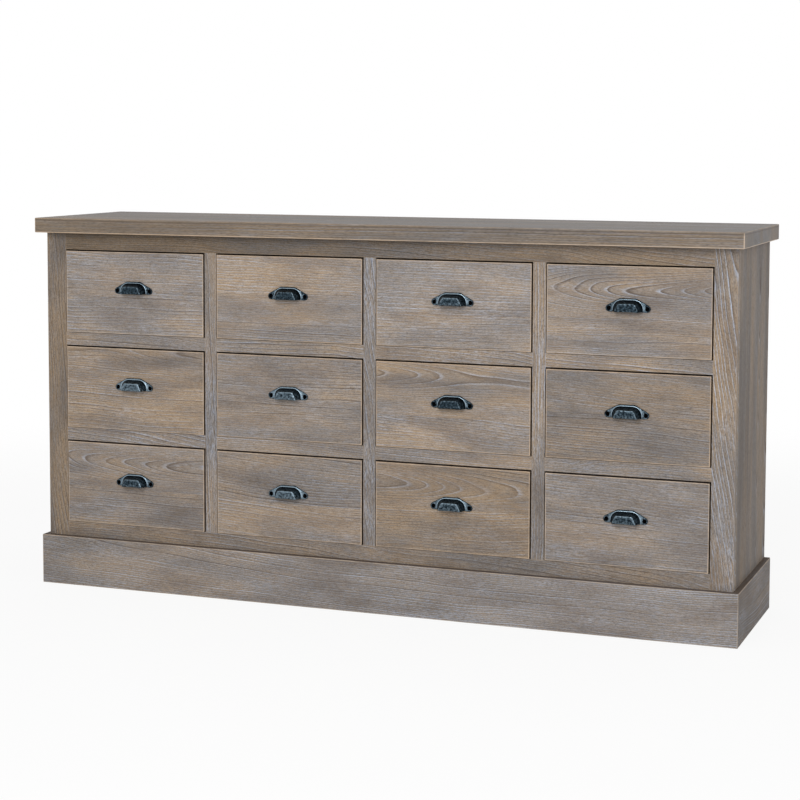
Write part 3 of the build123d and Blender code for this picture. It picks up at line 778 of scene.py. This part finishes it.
def cup(share, inset):
    """A ring of the cup, from the rim's inner foot at share 0 to the edge of the face at share 1."""
    foot = RIM_WIDTH + inset
    base = (RIM_HALF - foot, RIM_HALF - foot, RIM_TOP - foot, RIM_RADIUS - foot)
    face = (FACE_LOW_HALF - inset, FACE_HALF - inset, FACE_TOP - inset,
            max(FACE_RADIUS - inset, LEAST_RADIUS))
    return arch(*(a + (b - a) * share for a, b in zip(base, face)))


print("width of a pull in mm:", 2 * (EAR_X + EAR_RADIUS))

# %% All rings of a pull
CUP_DEPTH, WALL = 20.0, 2.5

# Each ring: its points, how far it stands out, and its note: above zero rubbed wear and painted highlight,
# below zero grime and painted shade
OUTSIDE = [(flange(0), 0.0, -0.9), (flange(0), 1.9, -0.9), (flange(0.4), FLANGE, -0.8),
           (flange(1.0), FLANGE, -0.3), (rim(0), FLANGE, 0.1), (rim(0.2), RIM_HEIGHT - 0.9, 0.45),
           (rim(0.9), RIM_HEIGHT, 0.9), (rim(2.0), RIM_HEIGHT, 1.0), (rim(2.8), RIM_HEIGHT - 0.9, 0.6),
           (cup(0, 0), FLANGE, -1.0), (cup(0.35, 0), 9.0, -0.9), (cup(0.75, 0), 14.5, -0.5),
           (cup(1, 0), 17.8, -0.3), (cup(1, 0.8), 19.5, 0.25), (cup(1, 2.0), CUP_DEPTH, 0.0),
           (cup(1, 4.5), CUP_DEPTH, -0.2)]
INSIDE = [(cup(0, WALL), 0.0, -0.8), (cup(0.35, WALL), 7.4, -0.6), (cup(0.75, WALL), 12.6, -0.4),
          (cup(1, WALL), 15.4, -0.3), (cup(1, WALL + 0.8), 17.0, -0.2),
          (cup(1, WALL + 2.0), CUP_DEPTH - WALL, -0.2), (cup(1, WALL + 4.5), CUP_DEPTH - WALL, -0.2)]
print("points per ring:", {len(points) for points, depth, patina_and_light in OUTSIDE + INSIDE})

# %% The net of a pull
EAR_START, EAR_RUB, POLISH = RIM_HALF + 1.5, 0.3, 0.4
RUB_AND_HIGHLIGHT_RISE, GRIME_AND_SHADE_RISE = 9.0, 18.0  # mm above the mouth where the bright and the black parts of the note are full


def draw(bm, put, ring, polish):
    """One ring as a line of edges, noted as bright, from rubbing and painted highlight, or black, from grime
    and painted shade. Both fade out towards the mouth of the cup.
    """
    points, depth, patina_and_light = ring
    verts = [bm.verts.new(put @ Vector((x, depth, z))) for x, z in points]
    for vert, (x, z) in zip(verts, points):
        rise = z + MOUTH
        ear = EAR_RUB if abs(x) > EAR_START else 0
        worst = -rise / GRIME_AND_SHADE_RISE if depth > RIM_HEIGHT else -1
        vert[bm.verts.layers.float["patina_and_light"]] = max(min(patina_and_light, rise / RUB_AND_HIGHLIGHT_RISE), worst) + ear + POLISH * polish
    for pair in zip(verts, verts[1:]):
        bm.edges.new(pair)
    return verts


def bridge(bm, first, second):
    """Quads between two lines of points that have edges."""
    edges = [bm.edges.get(pair) for line in (first, second) for pair in zip(line, line[1:])]
    bmesh.ops.bridge_loops(bm, edges=edges)


def add_casting(bm, put, polish):
    """The closed net of rings of one pull."""
    outside = [draw(bm, put, ring, polish) for ring in OUTSIDE]
    inside = [draw(bm, put, ring, 0.0) for ring in INSIDE]
    for first, second in (*zip(outside, outside[1:]), *zip(inside, inside[1:]), (outside[0], inside[0])):
        bridge(bm, first, second)

    # The cup's face closes its last ring, outside and inside, and gives both an edge along the lip
    for ring in (outside[-1], inside[-1]):
        bm.faces.new(ring)

    # The mouth: a strip under the walls and the lip, and a cap under the flange and rim at each side
    foot = len(OUTSIDE) - len(INSIDE)
    lips = [[ring[0] for ring in rings] + [ring[-1] for ring in reversed(rings)]
            for rings in (outside[foot:], inside)]
    bridge(bm, *lips)
    for end in (0, -1):
        bm.faces.new([ring[end] for ring in outside[:foot + 1]] + [inside[0][end]])


print("rings in a casting:", len(OUTSIDE) + len(INSIDE))

# %% [markdown]
# ## Screws of the pulls
# Two blackened screws with countersunk heads hold each pull. A slot could be cut into a head with a boolean,
# but two half discs with a gap between them look the same and keep a clean mesh. A wider black disc under
# them, the seat, is painted shade of the screw hole.

# %% A slotted screw, in mm
SCREW_HEAD, SCREW_SEAT, SLOT_HALF, ROUND = 4.0, 4.9, 0.4, 28
SEAT_SPAN, HEAD_SPAN = (1.0, FLANGE + 0.1), (2.0, FLANGE + 0.5)


def add_screw(bm, put, at):
    """A countersunk head in its hole: a round black seat, painted shade of the hole, and two half moons with
    the slot between them.
    """
    discs = ((SCREW_SEAT, SEAT_SPAN, 0), (SCREW_HEAD, HEAD_SPAN, -1), (SCREW_HEAD, HEAD_SPAN, 1))
    for radius, (start, end), slot in discs:
        seat = put @ Matrix.Translation((at, start, 0)) @ Matrix.Rotation(math.pi / 2, 4, "X")
        disc = bmesh.ops.create_circle(bm, cap_ends=True, segments=ROUND, radius=radius, matrix=seat)["verts"]
        if slot:
            faces = {face for vert in disc for face in vert.link_faces}
            edges = {edge for vert in disc for edge in vert.link_edges}
            wall = put @ Vector((at + slot * SLOT_HALF, 0, 0))
            halved = bmesh.ops.bisect_plane(bm, geom=[*disc, *edges, *faces], clear_inner=True,
                                            plane_co=wall, plane_no=(slot, 0, 0))
            disc = [part for part in halved["geom"] if isinstance(part, BMVert)]
        face = next(face for face in disc[0].link_faces)
        raised = bmesh.ops.extrude_face_region(bm, geom=[face], use_keep_orig=True)["geom"]
        lifted = [part for part in raised if isinstance(part, BMVert)]
        bmesh.ops.translate(bm, verts=lifted, vec=(0, (start - end) * MM, 0))


print("slot of a screw in mm:", 2 * SLOT_HALF)

# %% [markdown]
# ## Iron and steel
# The pulls are oiled castings: blue-black, mottled where the casting skin is rough, bright on the rim and the
# cup's shoulders, partly rubbed by fingers and partly painted highlight, and black in the groove between
# them, partly grime and partly painted shade. The bright and the black parts could be materials of their own,
# but one material that reads the note lets them fade into each other. All metals use a metallic surface, so
# what they show is mostly the pale room.

# %% Metal materials
GRIT, SPOTS = 0.8 * MM, 0.22
SKIN = {"From Min": 0.36, "From Max": 0.66}


def metal(name, dark, light, bright, grime_and_shade, mottle, roughness):
    """A mottled metal, brighter and smoother where its note is high, from rubbing and painted highlight, and
    black where it is low, from grime and painted shade.
    """
    material, tree, output = new_material(name)
    where = add(tree, "TexCoord", {}).outputs["Object"]
    patina_and_light = add(tree, "Attribute", {}, attribute_name="patina_and_light").outputs["Fac"]
    skin = add(tree, "TexNoise", {"Vector": where, "Scale": 1 / mottle, "Detail": 4.0, "Roughness": 0.6})
    grit = add(tree, "TexNoise", {"Vector": where, "Scale": 1 / GRIT, "Detail": 2.0})
    shade = add(tree, "MapRange", {"Value": skin, **SKIN})
    base = add(tree, "Mix", {"Factor": shade, "A": linear(dark), "B": linear(light)}, data_type="RGBA")
    spots = add(tree, "MapRange", {"Value": skin, **SKIN, "To Min": -SPOTS, "To Max": SPOTS})
    polish = add(tree, "Math", {0: patina_and_light, 1: spots}, operation="ADD")
    # Painted highlight and painted shade, with rubbing and grime: the note brightens or blackens the colour
    rubbed_and_lit = add(tree, "Mix", {"Factor": polish, "A": base, "B": linear(bright)}, data_type="RGBA")
    darkness = add(tree, "MapRange", {"Value": polish, "From Min": 0.0, "From Max": -1.0})
    colour = add(tree, "Mix", {"Factor": darkness, "A": rubbed_and_lit, "B": linear(grime_and_shade)}, data_type="RGBA")
    smooth = add(tree, "MapRange", {"Value": polish, "From Min": -1.0, "From Max": 1.0,
                                    "To Min": roughness + 0.15, "To Max": roughness - 0.3})
    rough = add(tree, "Math", {0: grit, 1: 0.3, 2: smooth}, operation="MULTIPLY_ADD")
    bump = add(tree, "Bump", {"Strength": 0.25, "Distance": 0.15 * MM, "Height": grit})
    shader = add(tree, "BsdfPrincipled", {"Base Color": colour, "Metallic": 1.0, "Roughness": rough,
                                          "Normal": bump})
    tree.links.new(shader.outputs[0], output.inputs["Surface"])
    return material


# Cast in sand and oiled: dark and mottled, with a soft shine
cast_iron = metal("oiled_cast_iron", "#131b20", "#3f4f5a", "#9cb0be", "#03060a",
                  mottle=4.5 * MM, roughness=0.42)

# Blackened in oil: nearly no shine, so that the screws read as dark dots; on the seat round each head the
# same black is painted shade of the hole
black_steel_and_hole_shade = metal("blackened_steel_and_hole_shade", "#020203", "#060708", "#1a1d20", "#020203",
                    mottle=3 * MM, roughness=0.6)

# Plated with zinc: pale grey and even
zinc_steel = metal("zinc_plated_steel", "#6f7478", "#9aa0a4", "#c4c9cc", "#3c3f42",
                   mottle=4 * MM, roughness=0.38)
print("metals:", cast_iron.name, black_steel_and_hole_shade.name, zinc_steel.name)

# %% Pulls on the drawers
for place, sawn in FRONTS.items():
    drawer = f"drawer_{place}"
    pull_low, pull_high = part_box(f"{drawer}_pull")
    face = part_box(f"{drawer}_front")[0].y
    seat = Vector(((pull_low.x + pull_high.x) / 2, face, pull_high.z - FLANGE_TOP * MM))
    put = Matrix.Translation(seat) @ Matrix.Diagonal((MM, -MM, MM, 1))
    bm = bmesh.new()
    bm.verts.layers.float.new("patina_and_light")
    add_casting(bm, put, sawn.polish)
    casting = show(bm, f"{drawer}_cup", cast_iron, drawer, [f"{drawer}_pull"])
    casting.data.shade_smooth()
    rounding = casting.modifiers.new("rounding", "SUBSURF")
    rounding.levels = rounding.render_levels = 2
    bm = bmesh.new()
    for at in (-EAR_X, EAR_X):
        add_screw(bm, put, at)
    show(bm, f"{drawer}_screws", black_steel_and_hole_shade, drawer, [])
print("pulls:", len(FRONTS))

# %% [markdown]
# ## Hidden pieces
# The back, the bottom, the partitions and the strips that carry the drawers are seen only from behind or with
# a drawer out. Rebuilding them would add nothing to the eye, so they keep their CAD shape. They get the same
# notes as the other boards, written as attributes on meshes that stay as they are, and raw oak. Their screws
# are zinc plated.

# %% Dress the CAD pieces
def dress(node, along):
    """Writes the wood's notes on a CAD piece."""
    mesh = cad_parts[node].data
    board = (*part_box(node), along, any_cut(CALM), RAW_TONE)
    columns = zip(*(notes(vert.co, *board) for vert in mesh.vertices))
    for name, values in zip(NOTES, columns):
        layer = mesh.attributes.new(name, "FLOAT_VECTOR", "POINT")
        layer.data.foreach_set("vector", [number for value in values for number in value])
    mesh.materials.clear()
    mesh.materials.append(raw_oak)


RAW_NODES = {"back_panel": Z, "bottom_panel": X, "partitions": Z, "runners_and_guides": Y, "drawer_stops": X,
             "top_kickers": Y, "plinth_back": X, "plinth_blocks": Z}
for node, along in RAW_NODES.items():
    dress(node, along)
SCREW_NODES = ("top_screws", "back_screws")
for node in SCREW_NODES:
    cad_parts[node].data.materials.clear()
    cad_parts[node].data.materials.append(zinc_steel)
print("CAD pieces shown:", len(RAW_NODES) + len(SCREW_NODES))

# %% [markdown]
# ## Floor, light and camera
# The chest stands in a white studio. The floor is a pale disc that fades out before its edge, so no horizon
# shows. A white backdrop curving up from the floor would do too, but it would stand in the way of other
# views. A large soft lamp hangs in front above head height, a weak one stands at the right, and the room
# fills the rest. The camera looks at the chest from the front, 21 degrees to its right and a little above
# the top. Its long lens is shifted a little, so upright edges stay more nearly parallel than by tilting it.

# %% Floor
FLOOR, FADE_START, FADE_END = 5.0, 1.4, 3.0
FLOOR_SIDES, FLOOR_GLOW = 96, 0.88
bm = bmesh.new()
bmesh.ops.create_circle(bm, cap_ends=True, segments=FLOOR_SIDES, radius=FLOOR)
mesh = bpy.data.meshes.new("floor")
bm.to_mesh(mesh)
bm.free()
floor = bpy.data.objects.new("floor", mesh)
scene.collection.objects.link(floor)
floor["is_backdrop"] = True
material, tree, output = new_material("pale_floor")
where = add(tree, "TexCoord", {}).outputs["Object"]
away = add(tree, "VectorMath", {0: where}, operation="LENGTH")
fade = add(tree, "MapRange", {"Value": away, "From Min": FADE_START, "From Max": FADE_END},
           interpolation_type="SMOOTHSTEP")
dust = add(tree, "TexNoise", {"Vector": where, "Scale": 3.0, "Detail": 3.0})
shade = add(tree, "MapRange", {"Value": dust, "To Min": 0.9, "To Max": 0.96})
surface = add(tree, "BsdfDiffuse", {"Color": shade})
glow = add(tree, "Emission", {"Color": (1.0, 1.0, 1.0, 1.0), "Strength": 1.0})
seen = add(tree, "LightPath", {}).outputs["Is Camera Ray"]
# To the camera most of the floor glows, which leaves a soft shadow on white
share = add(tree, "Math", {0: seen, 1: FLOOR_GLOW}, operation="MULTIPLY")
pale = add(tree, "MixShader", {0: share, 1: surface, 2: glow})
clear = add(tree, "BsdfTransparent", {})
faded = add(tree, "MixShader", {0: fade, 1: pale, 2: clear})
tree.links.new(faded.outputs[0], output.inputs["Surface"])
floor.data.materials.append(material)
print("floor radius in m:", FLOOR)

# %% Room light and lamps
ROOM_LIGHT, ROOM_SHOWN = 0.6, 1.0
world = bpy.data.worlds.new("room")
scene.world = world
world.use_nodes = True
tree = world.node_tree
tree.nodes.clear()
path = add(tree, "LightPath", {}).outputs
shown = add(tree, "Math", {0: path["Is Camera Ray"], 1: path["Is Glossy Ray"]}, operation="MAXIMUM")
strength = add(tree, "MapRange", {"Value": shown, "To Min": ROOM_LIGHT, "To Max": ROOM_SHOWN})
sky = add(tree, "Background", {"Color": (1.0, 1.0, 1.0, 1.0), "Strength": strength})
add(tree, "OutputWorld", {"Surface": sky})


def soft_lamp(name, place, aim, size, power):
    """A square area lamp that looks at a point."""
    data = bpy.data.lights.new(name, "AREA")
    data.size = size
    data.energy = power
    lamp = bpy.data.objects.new(name, data)
    lamp.location = place
    lamp.rotation_mode = "QUATERNION"
    lamp.rotation_quaternion = (Vector(aim) - Vector(place)).to_track_quat("-Z", "Y")
    scene.collection.objects.link(lamp)
    lamp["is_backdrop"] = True


soft_lamp("key", place=(0.5, -4.0, 2.3), aim=(0.0, -0.17, 0.42), size=2.0, power=72.0)
soft_lamp("fill", place=(4.5, -1.5, 1.2), aim=(0.8, 0.0, 0.42), size=2.0, power=14.0)
print("lamps:", len(bpy.data.lights))

# %% Camera
TURN, DOWN, ROLL = math.radians(20.693), math.radians(4.539), math.radians(0.178)
LENS, SENSOR, SHIFT = 86.863, 36.0, -0.14
STAND = (1.50252, -3.96598, 1.02247)
forward = Vector((-math.sin(TURN) * math.cos(DOWN), math.cos(TURN) * math.cos(DOWN), -math.sin(DOWN)))
right = Vector((math.cos(TURN), math.sin(TURN), 0))
up = right.cross(forward)
rolled_right = right * math.cos(ROLL) + up * math.sin(ROLL)
rolled_up = up * math.cos(ROLL) - right * math.sin(ROLL)
lens = bpy.data.cameras.new("camera")
lens.sensor_width = SENSOR
lens.lens = LENS
lens.shift_y = SHIFT
camera = bpy.data.objects.new("camera", lens)
axes = Matrix((rolled_right, rolled_up, -forward)).transposed()
camera.rotation_mode = "QUATERNION"
camera.rotation_quaternion = axes.to_quaternion()
camera.location = STAND
scene.collection.objects.link(camera)
scene.camera = camera
scene.view_settings.view_transform = "Standard"
print("camera at:", [round(v, 2) for v in camera.location])

# %% Measure the box of the shown pieces
low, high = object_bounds()
